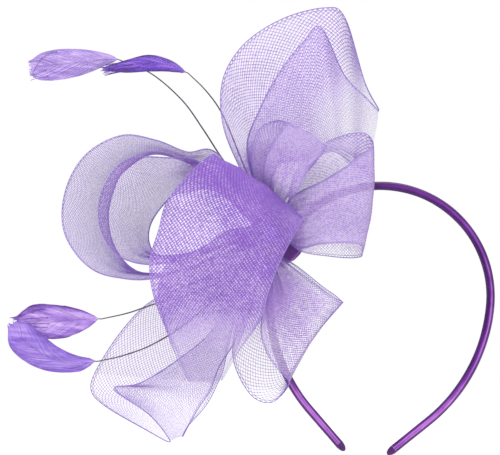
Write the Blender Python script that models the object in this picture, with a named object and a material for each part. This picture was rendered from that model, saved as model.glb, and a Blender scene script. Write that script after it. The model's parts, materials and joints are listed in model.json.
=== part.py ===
"""Fascinator headpiece: a satin headband with gathered net loops and stripped feathers.

Frame: metres, +Z up, +X the wearer's side without the decoration, +Y behind the loops.
The origin is the middle of the inner face of the band's crown. The band lies in the plane Y = 0.
"""

import math

import bmesh
import bpy
from mathutils import Vector

MM = 0.001
GAP = 0.3  # clearance between touching pieces, mm

# Headband: a half circle over the crown, then two legs that curve in towards the tips. All in mm.
CROWN_RADIUS = 60.7  # centreline of the crown half circle
LEG_RADIUS = 91.5  # centreline of the upper, curved stretch of a leg
LEG_ARC = 46.0  # degrees that the curved stretch of a leg turns through
LEG_STRAIGHT = 24.0  # straight stretch from the end of that arc to the tip cap
BAND_THICK = 4.4  # across the band, along its radius
BAND_WIDE = 6.4  # along Y
FLAT_FACET = 3.6  # width of the flat inner face, along Y
ROUND_CORNERS = 8  # corners of the sleeve's section outside the flat face
ROUND_START = -40.0  # degrees; the round side of the section starts here
ROUND_SWEEP = 260.0
CORE_THICK = 1.0
CORE_WIDE = 4.0
CAVITY_THICK = CORE_THICK + 2 * GAP
CAVITY_WIDE = CORE_WIDE + 2 * GAP
SEAT_LENGTH = 8.0  # straight stretch at the apex, whose inner face is the flat seat on the head
SEAT_BLEND = 4.0  # from the end of that stretch to the first frame on the crown circle
HINGE_SPLIT = 0.35  # half of the parting between the crown and a leg
STRIP_INSET = 0.5  # how far a strip's end sits inside its sleeve
BAND_STEPS = 14  # spans along a leg, and along each half of the crown
TIP_CAP = 5.0  # length of a tip cap
TIP_TURNS = (0, 25, 45, 62, 76)  # degrees of its rounding, from the leg to the end

# Decoration base, sewn over the left shoulder of the band.
BASE_ANGLE = 66.0  # degrees from the apex, round the crown circle
BASE_NORMAL = Vector((-0.52, -0.82, 0.24)).normalized()
BASE_RADIUS = 16.0
BASE_THICK = 2.0
BASE_CHAMFER = 0.6
BASE_SIDES = 40
BASE_STANDOFF = 6.1  # from the band's centreline to the middle of the disc
PATCH_RADIUS = 10.0
PATCH_THICK = 1.2
PATCH_STANDOFF = 5.6  # from the band's centreline to the far face of the patch
PATCH_SIDES = 32
STITCH_RADIUS = 0.35
STITCH_SIDES = 8
STITCH_RING = 8.2  # radius of the circle that the stitches stand on
STITCH_ANGLES = (-45, 5, 135, 185)

# Gather post: the sewn heart of ribbon ends that holds the loops and quills.
POST_RADIUS = 6.0
POST_BOTTOM = BASE_THICK / 2 + GAP
POST_TOP = 20.0
POST_SIDES = 20
POST_CHAMFER = 0.8
POST_DOME = ((0.0, 2.5), (1.0, 0.8), (3.0, 0.0))  # its free end: (inside the radius, below the top)
END_STANDOFF = 1.6  # from the post's side to the middle of a gathered ribbon end

NET_THICK = 1.0
NET_ALONG = 30  # spans along a loop
NET_ACROSS = 4
NET_CROWN = 0.05  # how far the middle of a ribbon bows out, as a share of its width

VANE_THICK = 0.9
VANE_STEPS = 14
VANE_ACROSS = 4
VANE_CROWN = 0.02
QUILL_THICK = 1.1
QUILL_STEPS = 20
QUILL_SIDES = 6
QUILL_ROOT = 1.15  # of the quill's mean radius, at its root and at its far end
QUILL_END = 0.70

VIOLET_SATIN = ("violet_satin", (0.16, 0.030, 0.26), 0.35, 0.0)
DARK_FELT = ("dark_felt", (0.07, 0.010, 0.13), 0.85, 0.0)
SPRING_STEEL = ("spring_steel", (0.55, 0.56, 0.58), 0.30, 1.0)
LILAC_NET = ("lilac_net", (0.46, 0.27, 0.76), 0.60, 0.0)
LILAC_THREAD = ("lilac_thread", (0.36, 0.18, 0.62), 0.70, 0.0)
QUILL_HORN = ("quill_horn", (0.06, 0.045, 0.065), 0.45, 0.0)
FEATHER_BARB = ("feather_barb", (0.30, 0.13, 0.68), 0.75, 0.0)


def clear_scene():
    for old in list(bpy.data.objects):
        bpy.data.objects.remove(old, do_unlink=True)


def finish_material(look):
    name, colour, roughness, metallic = look
    material = bpy.data.materials.get(name) or bpy.data.materials.new(name)
    material.use_nodes = True
    shader = material.node_tree.nodes["Principled BSDF"]
    shader.inputs["Base Color"].default_value = (*colour, 1.0)
    shader.inputs["Roughness"].default_value = roughness
    shader.inputs["Metallic"].default_value = metallic
    return material


def add_piece(name, points, faces, look, parent=None):
    """Makes a named object from points in mm, with its faces turned outwards."""
    mesh = bpy.data.meshes.new(name)
    place = parent.location if parent else Vector((0, 0, 0))
    mesh.from_pydata([Vector(p) * MM - place for p in points], [], faces)
    shell = bmesh.new()
    shell.from_mesh(mesh)
    bmesh.ops.recalc_face_normals(shell, faces=shell.faces[:])
    if shell.calc_volume(signed=True) < 0:
        bmesh.ops.reverse_faces(shell, faces=shell.faces[:])
    shell.to_mesh(mesh)
    shell.free()
    mesh.shade_smooth()
    mesh.set_sharp_from_angle(angle=math.radians(40))
    mesh.materials.append(finish_material(look))
    piece = bpy.data.objects.new(name, mesh)
    bpy.context.scene.collection.objects.link(piece)
    piece.parent = parent
    return piece


def add_joint_empty(name, place):
    """A guide on a hinge's axis, which the leg's pieces hang from."""
    guide = bpy.data.objects.new(name, None)
    guide.location = Vector(place) * MM
    bpy.context.scene.collection.objects.link(guide)
    return guide


# ---------------------------------------------------------------- headband


def band_frame(side, along):
    """A point of the band's centreline and the outward normal there, at a length past the crown's end.

    side is -1 for the left and +1 for the right. A negative length lies back along the crown.
    """
    if along <= 0:
        turn = math.pi / 2 + along / CROWN_RADIUS
        centre = Vector((0, 0, -CROWN_RADIUS + BAND_THICK / 2))
        out = Vector((side * math.sin(turn), 0, math.cos(turn)))
        return centre + out * CROWN_RADIUS, out
    centre = Vector((-side * (LEG_RADIUS - CROWN_RADIUS), 0, -CROWN_RADIUS + BAND_THICK / 2))
    arc_length = LEG_RADIUS * math.radians(LEG_ARC)
    turn = min(along, arc_length) / LEG_RADIUS
    out = Vector((side * math.cos(turn), 0, -math.sin(turn)))
    run = Vector((-side * math.sin(turn), 0, -math.cos(turn)))
    return centre + out * LEG_RADIUS + run * max(0.0, along - arc_length), out


def sleeve_section():
    """Corners of the sleeve's section, (along the outward normal, along Y): flat inside, round outside."""
    half_flat, half_wide, half_thick = FLAT_FACET / 2, BAND_WIDE / 2, BAND_THICK / 2
    corners = [(-half_thick, -half_flat), (-half_thick, half_flat)]
    for step in range(ROUND_CORNERS):
        turn = math.radians(ROUND_START + ROUND_SWEEP * step / (ROUND_CORNERS - 1))
        corners.append((half_thick * math.sin(turn), half_wide * math.cos(turn)))
    return corners


def box_section(thick, wide):
    half_thick, half_wide = thick / 2, wide / 2
    inside = [(-half_thick, -half_wide), (-half_thick, half_wide)]
    return inside + [(half_thick, half_wide), (half_thick, -half_wide)]


def swept_rings(frames, section):
    return [[centre + out * a + Vector((0, b, 0)) for a, b in section] for centre, out in frames]


def skin_faces(count, size, start=0):
    """Quads between rings of points that follow one another, each ring closed on itself."""
    faces = []
    for i in range(count - 1):
        for j in range(size):
            a, b = start + i * size + j, start + i * size + (j + 1) % size
            faces.append((a, b, b + size, a + size))
    return faces


def capped(rings):
    points = [p for ring in rings for p in ring]
    size = len(rings[0])
    faces = skin_faces(len(rings), size)
    faces.append(tuple(range(size)))
    faces.append(tuple(range(len(points) - size, len(points))))
    return points, faces


def hollow_sleeve(name, frames, parent=None):
    """A sleeve with a cavity for the strip, open at both ends."""
    outer = swept_rings(frames, sleeve_section())
    inner = swept_rings(frames, box_section(CAVITY_THICK, CAVITY_WIDE))
    size, count = len(outer[0]), len(frames)
    points = [p for ring in outer for p in ring]
    hole = len(points)
    points += [p for ring in inner for p in ring]
    faces = skin_faces(count, size) + skin_faces(count, 4, hole)
    for row in (0, count - 1):
        faces += end_ring(row * size, size, hole + row * 4)
    return add_piece(name, points, faces, VIOLET_SATIN, parent)


def end_ring(outer, size, inner):
    """Faces between a sleeve's outer corners and the four corners of its cavity."""
    shares = [0, 1, 4, 7]  # the outer corner that each cavity corner is joined to
    faces = []
    for k in range(4):
        low = shares[k]
        high = shares[(k + 1) % 4] + (size if k == 3 else 0)
        for j in range(low, high):
            faces.append((outer + j % size, outer + (j + 1) % size, inner + k))
        faces.append((inner + k, outer + high % size, inner + (k + 1) % 4))
    return faces


def span(start, end, steps):
    return [start + (end - start) * i / steps for i in range(steps + 1)]


def seat_frame(side):
    """The frame at one end of the straight stretch at the apex."""
    return Vector((side * SEAT_LENGTH / 2, 0, BAND_THICK / 2)), Vector((0, 0, 1))


def crown_frames(reach, steps):
    """Frames from the left end of the crown to the right, reach mm to each side of the apex."""
    quarter = CROWN_RADIUS * math.pi / 2
    near = SEAT_LENGTH / 2 + SEAT_BLEND
    left = [band_frame(-1, s - quarter) for s in span(reach, near, steps)]
    right = [band_frame(1, s - quarter) for s in span(near, reach, steps)]
    return left + [seat_frame(-1), seat_frame(1)] + right


def leg_length():
    return LEG_RADIUS * math.radians(LEG_ARC) + LEG_STRAIGHT


def build_crown():
    quarter = CROWN_RADIUS * math.pi / 2
    hollow_sleeve("crown_cover", crown_frames(quarter - HINGE_SPLIT, BAND_STEPS))
    strip_frames = crown_frames(quarter - HINGE_SPLIT - STRIP_INSET, BAND_STEPS)
    strip = swept_rings(strip_frames, box_section(CORE_THICK, CORE_WIDE))
    add_piece("crown_strip", *capped(strip), SPRING_STEEL)


def hinge_place(side):
    """The hinge line of a leg: the outer skin of the band at its widest point."""
    centre, out = band_frame(side, 0)
    return centre + out * (BAND_THICK / 2)


def build_leg(side, word):
    hinge = add_joint_empty(f"{word}_leg_hinge", hinge_place(side))
    start, end = HINGE_SPLIT, leg_length()
    frames = [band_frame(side, s) for s in span(start, end, BAND_STEPS)]
    hollow_sleeve(f"{word}_leg_cover", frames, hinge)
    strip_span = span(start + STRIP_INSET, end - STRIP_INSET, BAND_STEPS)
    strip_frames = [band_frame(side, s) for s in strip_span]
    strip = swept_rings(strip_frames, box_section(CORE_THICK, CORE_WIDE))
    add_piece(f"{word}_leg_strip", *capped(strip), SPRING_STEEL, hinge)
    build_tip_cap(side, word, hinge)


def build_tip_cap(side, word, hinge):
    """A rounded bead that closes the end of a leg."""
    rings = []
    for turn in TIP_TURNS:
        share = math.sin(math.radians(turn))
        size = math.cos(math.radians(turn))
        centre, out = band_frame(side, leg_length() + GAP + TIP_CAP * share)
        rings.append([centre + out * a * size + Vector((0, b * size, 0)) for a, b in sleeve_section()])
    add_piece(f"{word}_tip_cap", *capped(rings), VIOLET_SATIN, hinge)


# ---------------------------------------------------------------- base and gather post


def base_centre():
    quarter = CROWN_RADIUS * math.pi / 2
    centre, _ = band_frame(-1, CROWN_RADIUS * math.radians(BASE_ANGLE) - quarter)
    return centre + BASE_NORMAL * BASE_STANDOFF


def post_axes():
    """Right and up across the gather post, as seen from its free end."""
    up = (Vector((0, 0, 1)) - BASE_NORMAL * BASE_NORMAL.z).normalized()
    return up.cross(BASE_NORMAL), up


def post_point(angle, radius, height):
    """A point by its angle round the post, from right towards up, its radius and its height."""
    right, up = post_axes()
    turn = math.radians(angle)
    aside = right * math.cos(turn) + up * math.sin(turn)
    return base_centre() + aside * radius + BASE_NORMAL * height


def ring_turns(sides):
    return [math.tau * k / sides for k in range(sides)]


def turned(profile, sides):
    """Rings round the post's axis from (radius, height) pairs."""
    return [[post_point(360 * k / sides, r, h) for k in range(sides)] for r, h in profile]


def build_base():
    half = BASE_THICK / 2
    edge, inset = half - BASE_CHAMFER, BASE_RADIUS - BASE_CHAMFER
    disc = [(inset, -half), (BASE_RADIUS, -edge), (BASE_RADIUS, edge), (inset, half)]
    add_piece("base_disc", *capped(turned(disc, BASE_SIDES)), DARK_FELT)
    low = -BASE_STANDOFF - PATCH_STANDOFF
    patch = [(PATCH_RADIUS, low), (PATCH_RADIUS, low + PATCH_THICK)]
    add_piece("backing_patch", *capped(turned(patch, PATCH_SIDES)), DARK_FELT)


def build_stitches():
    """Threads beside the band that tie the disc to the patch."""
    low = -BASE_STANDOFF - PATCH_STANDOFF + PATCH_THICK + GAP
    high = -BASE_THICK / 2 - GAP
    right, up = post_axes()
    for number, angle in enumerate(STITCH_ANGLES, 1):
        rings = []
        for height in (low, high):
            centre = post_point(angle, STITCH_RING, height)
            ring = []
            for turn in ring_turns(STITCH_SIDES):
                ring.append(centre + (right * math.cos(turn) + up * math.sin(turn)) * STITCH_RADIUS)
            rings.append(ring)
        add_piece(f"base_stitch_{number}", *capped(rings), LILAC_THREAD)


def build_post():
    body = [(POST_RADIUS - POST_CHAMFER, POST_BOTTOM), (POST_RADIUS, POST_BOTTOM + POST_CHAMFER)]
    body += [(POST_RADIUS - inside, POST_TOP - below) for inside, below in POST_DOME]
    add_piece("gather_post", *capped(turned(body, POST_SIDES)), LILAC_NET)


# ---------------------------------------------------------------- net loops and feathers


def smooth_curve(knots, count):
    """A Catmull-Rom curve through the knots, as count + 1 points."""
    ends = [knots[0] * 2 - knots[1]] + list(knots) + [knots[-1] * 2 - knots[-2]]
    points = []
    for i in range(count + 1):
        at = i * (len(knots) - 1) / count
        k = min(int(at), len(knots) - 2)
        t = at - k
        a, b, c, d = ends[k : k + 4]
        curve = b * 2 + (c - a) * t + (a * 2 - b * 5 + c * 4 - d) * t**2 + (b * 3 - a - c * 3 + d) * t**3
        points.append(curve / 2)
    return points


def ribbon_grid(stations, along, across, crown):
    """A ribbon's middle surface: rows of points from selvage to selvage, raised by crown in the middle."""
    rims = smooth_curve([Vector(rim) for rim, heel in stations], along)
    heels = smooth_curve([Vector(heel) for rim, heel in stations], along)
    grid = []
    for i in range(along + 1):
        before, after = max(i - 1, 0), min(i + 1, along)
        run = (rims[after] + heels[after]) - (rims[before] + heels[before])
        side = heels[i] - rims[i]
        lift = run.cross(side).normalized() * crown * side.length
        row = []
        for j in range(across + 1):
            t = j / across
            row.append(rims[i] + side * t + lift * (4 * t * (1 - t)))
        grid.append(row)
    return grid


def grid_normals(grid):
    rows, columns = len(grid), len(grid[0])
    normals = []
    for i in range(rows):
        row = []
        for j in range(columns):
            along = grid[min(i + 1, rows - 1)][j] - grid[max(i - 1, 0)][j]
            across = grid[i][min(j + 1, columns - 1)] - grid[i][max(j - 1, 0)]
            row.append(along.cross(across).normalized())
        normals.append(row)
    return normals


def build_sheet(name, grid, thick, look):
    """A closed solid of even thickness round a ribbon's middle surface."""
    rows, columns = len(grid), len(grid[0])
    normals = grid_normals(grid)
    points = []
    for side in (0.5, -0.5):
        points += [grid[i][j] + normals[i][j] * thick * side for i in range(rows) for j in range(columns)]
    back = rows * columns
    faces = []
    for i in range(rows - 1):
        for j in range(columns - 1):
            a = i * columns + j
            faces.append((a, a + 1, a + columns + 1, a + columns))
            faces.append((back + a, back + a + columns, back + a + columns + 1, back + a + 1))
    edge = list(range(columns))
    edge += [i * columns + columns - 1 for i in range(1, rows)]
    edge += [(rows - 1) * columns + j for j in range(columns - 2, -1, -1)]
    edge += [i * columns for i in range(rows - 2, 0, -1)]
    for a, b in zip(edge, edge[1:] + edge[:1]):
        faces.append((a, back + a, back + b, b))
    return add_piece(name, points, faces, look)


def flat_end(angle, height, half_width=3.2):
    """A ribbon end that lies flat across the post: its two selvages, beside each other."""
    reach = POST_RADIUS + END_STANDOFF
    swing = math.degrees(half_width / reach)
    return tuple(post_point(angle + swing, reach, height)), tuple(post_point(angle - swing, reach, height))


def upright_end(angle, low, high):
    """A ribbon end that stands along the post: its near selvage and its far one."""
    reach = POST_RADIUS + END_STANDOFF
    return tuple(post_point(angle, reach, high)), tuple(post_point(angle, reach, low))


def tip_end(angle, height, half_width=3.0):
    """A ribbon end that lies over the free end of the post."""
    return tuple(post_point(angle, half_width, height)), tuple(post_point(angle + 180, half_width, height))


# Each loop: stations along the ribbon from one gathered end, round the bend, to the other.
# A station is the rim selvage's point and the heel selvage's point, in mm.
NET_LOOPS = {
    "top_loop": [
        flat_end(92, 6.0),
        ((-84, -6, 6), (-67, -9, 3)),
        ((-95, 5, 29), (-59, -2, 10)),
        ((-97, 14, 53), (-51, 2, 11)),
        ((-87, 20, 74), (-43, 5, 15)),
        ((-67, 21, 90), (-35, 6, 19)),
        ((-44, 18, 98), (-28, 6, 20)),
        ((-33, 12, 93), (-22, 6, 17)),
        ((-19, 4, 58), (-18, 5, 11)),
        ((-10, -4, 43), (-15, 2, 10)),
        ((-18, -10, 49), (-19, -4, 11)),
        ((-31, -15, 60), (-25, -6, 14)),
        ((-46, -19, 84), (-32, -8, 18)),
        ((-55, -22, 75), (-39, -11, 16)),
        ((-66, -24, 58), (-47, -13, 13)),
        ((-75, -23, 37), (-55, -16, 11)),
        ((-80, -20, 13), (-64, -16, 3)),
        flat_end(92, 10.5),
    ],
    "right_loop": [
        flat_end(15, 3.8),
        ((-54, -18, 0), (-45, -18, -38)),
        ((-41, -19, 19), (-31, -13, -39)),
        ((-28, -18, 27), (-20, -11, -39)),
        ((-17, -16, 29), (-14, -12, -38)),
        ((-12, -20, 24), (-13, -17, -36)),
        ((-15, -27, 20), (-15, -23, -31)),
        ((-26, -32, 10), (-25, -28, -31)),
        ((-38, -33, 1), (-37, -29, -33)),
        ((-54.5, -27, -10), (-47, -26, -36)),
        flat_end(15, 9.5),
    ],
    "inner_loop": [
        flat_end(58, 13.0),
        ((-74, -30, -2), (-56, -31, -9)),
        ((-77, -33, 14), (-48, -35, 3)),
        ((-74, -36, 26), (-42, -38, 12)),
        ((-65, -40, 31), (-38, -41, 19)),
        ((-60, -43, 29), (-40, -44, 15)),
        ((-66, -44, 19), (-46, -44, 7)),
        ((-70, -41, 5), (-53, -41, -9)),
        flat_end(58, 17.0),
    ],
    "lower_right_loop": [
        flat_end(-62, 5.0),
        ((-70, -14, -62), (-49, -17, -45)),
        ((-77, -10, -80), (-41, -13, -50)),
        ((-77, -9, -100), (-32, -10, -56)),
        ((-66, -9, -118), (-25, -9, -60)),
        ((-54, -11, -121), (-21, -11, -63)),
        ((-46, -15, -110), (-21, -15, -63)),
        ((-52, -20, -103), (-26, -19, -61)),
        ((-60, -24, -93), (-35, -22, -56)),
        ((-64, -25, -77), (-46, -23, -49)),
        flat_end(-62, 11.0),
    ],
    "lower_left_loop": [
        flat_end(-118, 4.0),
        ((-98, -3, -58), (-76, -6, -68)),
        ((-124, 6, -72), (-80, -2, -90)),
        ((-139, 11, -89), (-82, 3, -106)),
        ((-151, 12, -111), (-85, 6, -116)),
        ((-154, 9, -124), (-88, 8, -124)),
        ((-146, 4, -132), (-92, 8, -131)),
        ((-124, -2, -142), (-98, 7, -139)),
        ((-107, -9, -148), (-101, 3, -145)),
        ((-119, -15, -134), (-98, -3, -138)),
        ((-140, -19, -121), (-93, -9, -127)),
        ((-126, -22, -116), (-88, -13, -118)),
        ((-106, -23, -101), (-84, -16, -104)),
        ((-88, -22, -82), (-74, -18, -80)),
        flat_end(-118, 9.5),
    ],
    "front_loop": [
        tip_end(340, 21.4),
        ((-65, -30, -39), (-86, -33, -30)),
        ((-66, -33, -52), (-100, -38, -41)),
        ((-69, -36, -66), (-115, -42, -49)),
        ((-72, -39, -80), (-120, -45, -63)),
        ((-76, -41, -93), (-116, -46, -80)),
        ((-80, -42, -103), (-108, -46, -98)),
        ((-82, -44, -109), (-99, -48, -112)),
        ((-74, -50, -92), (-106, -53, -98)),
        ((-65, -56, -76), (-115, -58, -82)),
        ((-62, -61, -61), (-122, -62, -66)),
        ((-58, -64, -46), (-125, -64, -50)),
        ((-53, -63, -33), (-122, -63, -33)),
        ((-48, -57, -22), (-118, -57, -15)),
        ((-48.5, -47, -19), (-100, -46, 8)),
        ((-54, -38, -19), (-93, -37, 4)),
        tip_end(345, 24.5),
    ],
    "outer_left_loop": [
        upright_end(143, 3.0, 10.0),
        ((-95, -21, 10), (-99, 1, -3)),
        ((-112, -24, 10), (-114, 10, 6)),
        ((-129, -26, 15), (-132, 18, 8)),
        ((-148, -26, 16), (-147, 23, -3)),
        ((-166, -26, 4), (-152, 25, -14)),
        ((-175, -26, -16), (-154, 25, -28)),
        ((-174, -26, -38), (-150, 22, -43)),
        ((-161, -26, -55), (-139, 15, -55)),
        ((-144, -25, -61), (-124, 6, -58)),
        ((-118, -24, -58), (-102, -2, -52)),
        upright_end(208, 3.0, 10.0),
    ],
    "inner_left_loop": [
        upright_end(158, 4.5, 11.5),
        ((-102, -22, 4), (-94, -1, -10)),
        ((-123, -24, 6), (-108, 6, -10)),
        ((-145, -26, 2), (-120, 12, -15)),
        ((-156, -27, -17), (-129, 14, -29)),
        ((-154, -27, -37), (-129, 13, -41)),
        ((-140, -26, -51), (-121, 7, -47)),
        ((-114, -24, -50), (-98, -2, -42)),
        upright_end(188, 4.5, 11.5),
    ],
}


def build_loops():
    for name, stations in NET_LOOPS.items():
        ribbon = ribbon_grid(stations, NET_ALONG, NET_ACROSS, NET_CROWN)
        build_sheet(name, ribbon, NET_THICK, LILAC_NET)


# Each feather: its root on the post as (angle, height), the route of its bare quill to the vane,
# then the vane's two edges as stations.
FEATHERS = {
    "upper_light": (
        (128, 3.6),
        [
            (-78, -2, -8), (-94, 9, 10), (-105, 12, 24),
            (-118, 12, 39), (-136, 10, 52), (-154, 8, 58),
        ],
        [
            ((-155.5, 8, 59), (-155.5, 8, 58)),
            ((-163, 7, 61), (-163, 7, 54)),
            ((-174, 6, 62), (-174, 6, 48)),
            ((-187, 5, 61), (-187, 5, 44)),
            ((-197, 4, 58), (-197, 4, 43)),
            ((-203, 3, 53), (-202, 3, 45)),
        ],
    ),
    "upper_dark": (
        (100, 2.4),
        [
            (-72, 0, -10), (-83, 7, 10), (-89, 12, 22),
            (-97, 15, 36), (-106, 10, 46), (-116, 4, 54),
        ],
        [
            ((-117.5, 3, 55), (-117.5, 3, 54)),
            ((-126, 2, 60), (-125, 2, 54)),
            ((-138, 0, 62), (-137, 0, 53)),
            ((-150, -2, 58), (-150, -2, 51)),
            ((-161, -4, 53), (-161, -4, 51)),
        ],
    ),
    "lower_straight": (
        (222, 13.0),
        [
            (-80, -22, -51.5), (-94.5, -28, -61.5), (-108, -30, -68),
            (-122, -30, -73), (-135.5, -30, -79), (-149.5, -30, -83.5),
        ],
        [
            ((-151, -30, -83), (-151, -30, -84)),
            ((-162, -31, -79.5), (-158, -31, -90)),
            ((-175.5, -32, -78), (-168.5, -32, -95.5)),
            ((-187, -33, -79.5), (-181.5, -33, -96.5)),
            ((-195, -34, -86.5), (-193, -34, -93.5)),
        ],
    ),
    "lower_curved": (
        (232, 16.5),
        [
            (-83, -28, -59.5), (-99.5, -33, -77), (-111, -34, -87.5),
            (-123.5, -34, -96), (-136.5, -34, -102), (-149, -35, -106),
        ],
        [
            ((-150.5, -35, -105), (-150.5, -35, -107)),
            ((-160.5, -36, -104), (-159.5, -36, -112.5)),
            ((-171.5, -37, -100), (-175, -37, -113.5)),
            ((-180, -38, -94), (-187.5, -38, -109.5)),
            ((-186.5, -39, -90), (-196.5, -39, -102)),
            ((-193.5, -40, -88), (-198, -40, -92)),
        ],
    ),
}


def build_quill(name, route):
    """A tapered round shaft that follows a smooth route."""
    path = smooth_curve(route, QUILL_STEPS)
    rings = []
    side = None
    for i, centre in enumerate(path):
        run = (path[min(i + 1, QUILL_STEPS)] - path[max(i - 1, 0)]).normalized()
        side = run.orthogonal() if side is None else side - run * side.dot(run)
        side.normalize()
        other = run.cross(side)
        radius = QUILL_THICK / 2 * (QUILL_ROOT + (QUILL_END - QUILL_ROOT) * i / QUILL_STEPS)
        turns = ring_turns(QUILL_SIDES)
        rings.append([centre + (side * math.cos(t) + other * math.sin(t)) * radius for t in turns])
    add_piece(name, *capped(rings), QUILL_HORN)


def build_feathers():
    for name, ((angle, height), route, stations) in FEATHERS.items():
        root = post_point(angle, POST_RADIUS + GAP + QUILL_THICK / 2, height)
        build_quill(f"{name}_quill", [root] + [Vector(p) for p in route])
        vane = ribbon_grid(stations, VANE_STEPS, VANE_ACROSS, VANE_CROWN)
        build_sheet(f"{name}_vane", vane, VANE_THICK, FEATHER_BARB)


def main():
    clear_scene()
    build_crown()
    build_leg(-1, "left")
    build_leg(1, "right")
    build_base()
    build_stitches()
    build_post()
    build_loops()
    build_feathers()


main()
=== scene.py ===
import json
import math

import bmesh
import bpy
import numpy as np
from mathutils import Matrix, Vector


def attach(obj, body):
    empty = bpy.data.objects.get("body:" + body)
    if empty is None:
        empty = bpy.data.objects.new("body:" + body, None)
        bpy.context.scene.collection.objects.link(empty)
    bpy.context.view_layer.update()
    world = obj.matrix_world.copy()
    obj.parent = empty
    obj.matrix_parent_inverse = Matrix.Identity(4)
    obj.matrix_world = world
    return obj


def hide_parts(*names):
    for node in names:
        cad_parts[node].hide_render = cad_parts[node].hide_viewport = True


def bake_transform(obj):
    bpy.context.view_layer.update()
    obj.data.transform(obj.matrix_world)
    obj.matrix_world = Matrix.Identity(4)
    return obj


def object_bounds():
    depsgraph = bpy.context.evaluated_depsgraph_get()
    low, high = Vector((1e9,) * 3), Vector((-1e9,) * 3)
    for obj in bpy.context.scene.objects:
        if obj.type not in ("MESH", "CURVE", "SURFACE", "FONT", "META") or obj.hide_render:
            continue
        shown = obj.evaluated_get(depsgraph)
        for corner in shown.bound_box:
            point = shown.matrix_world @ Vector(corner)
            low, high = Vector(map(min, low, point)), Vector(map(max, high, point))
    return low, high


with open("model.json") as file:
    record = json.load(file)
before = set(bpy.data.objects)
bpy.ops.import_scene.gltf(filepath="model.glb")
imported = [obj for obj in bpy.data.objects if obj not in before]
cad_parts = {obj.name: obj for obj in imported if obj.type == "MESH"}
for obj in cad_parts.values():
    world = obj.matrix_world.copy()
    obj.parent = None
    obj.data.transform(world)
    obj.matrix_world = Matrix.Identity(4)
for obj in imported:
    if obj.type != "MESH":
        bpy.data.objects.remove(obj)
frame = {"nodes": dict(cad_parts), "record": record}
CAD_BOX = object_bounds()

# The looks of a net fascinator on a satin headband. Lengths are in mm until a mesh is made.
MM = 0.001

# The CAD model's own measures, repeated here.
CROWN_RADIUS = 60.7
LEG_RADIUS = 91.5
LEG_ARC = 46.0
LEG_STRAIGHT = 24.0
BAND_THICK = 4.4
BAND_WIDE = 6.4
FLAT_FACET = 3.6
TIP_GAP = 0.3
TIP_CAP = 5.0
BASE_RADIUS = 16.0
BASE_THICK = 2.0
PATCH_RADIUS = 10.0
PATCH_THICK = 1.2
PATCH_TO_BASE = 11.7  # from the outer face of the patch to the middle of the disc
STITCH_RING = 8.2
STITCH_ANGLES = (-45, 5, 135, 185)
POST_RADIUS = 6.0
POST_TOP = 20.0
END_STANDOFF = 1.6
QUILL_STANDOFF = 0.85

# Net ribbon: fine strands on the bias, plaited into selvages.
STRAND_RADIUS = 0.11
STRAND_STEPS = 30
SELVAGE_RADIUS = 0.24
SELVAGE_INSET = 1.3  # of the second, finer thread inside each selvage
INNER_SELVAGE_RADIUS = 0.12
GRID_ALONG = 200
GRID_ACROSS = 40
NET_CROWN = 0.05
PLEATS = 7
PLEAT_LIFT, PLEAT_REACH = 1.25, 13  # the tight pleats at each gathered end
FLUTE_LIFT, FLUTE_REACH = 0.9, 30  # the wider flutes that run on from them
WAVE_LIFT, WAVE_REACH = 0.35, 25  # the slow waves of the rest


# ---------------------------------------------------------------- measures and curves


def unit(vectors):
    return vectors / np.linalg.norm(vectors, axis=-1, keepdims=True)


def curve(knots, count):
    """A Catmull-Rom curve through the knots, as an array of count + 1 points."""
    k = np.array(knots, float)
    ends = np.vstack([2 * k[0] - k[1], k, 2 * k[-1] - k[-2]])
    at = np.linspace(0, len(k) - 1, count + 1)
    i = np.minimum(at.astype(int), len(k) - 2)
    t = (at - i)[:, None]
    a, b, c, d = ends[i], ends[i + 1], ends[i + 2], ends[i + 3]
    return (2 * b + (c - a) * t + (2 * a - 5 * b + 4 * c - d) * t**2 + (3 * b - a - 3 * c + d) * t**3) / 2


def arc_length(points):
    steps = np.linalg.norm(np.diff(points, axis=0), axis=1)
    return np.concatenate([[0.0], np.cumsum(steps)])


def patch_mount():
    return next(m for m in frame["record"]["mounts"] if m["name"] == "patch_underside")


NORMAL = -np.array(patch_mount()["axis"], float)
BASE = np.array(patch_mount()["pos_m"], float) / MM + NORMAL * PATCH_TO_BASE
POST_UP = unit(np.array([0, 0, 1]) - NORMAL * NORMAL[2])
POST_RIGHT = np.cross(POST_UP, NORMAL)


def post_point(angle, radius, height):
    turn = math.radians(angle)
    return BASE + (POST_RIGHT * math.cos(turn) + POST_UP * math.sin(turn)) * radius + NORMAL * height


def around_post(turns):
    """Directions away from the post's axis, one for each turn."""
    return np.cos(turns)[:, None] * POST_RIGHT + np.sin(turns)[:, None] * POST_UP


def flat_end(angle, height, half_width=3.2):
    reach = POST_RADIUS + END_STANDOFF
    swing = math.degrees(half_width / reach)
    return post_point(angle + swing, reach, height), post_point(angle - swing, reach, height)


def upright_end(angle, low, high):
    reach = POST_RADIUS + END_STANDOFF
    return post_point(angle, reach, high), post_point(angle, reach, low)


def tip_end(angle, height, half_width=3.0):
    return post_point(angle, half_width, height), post_point(angle + 180, half_width, height)


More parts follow.
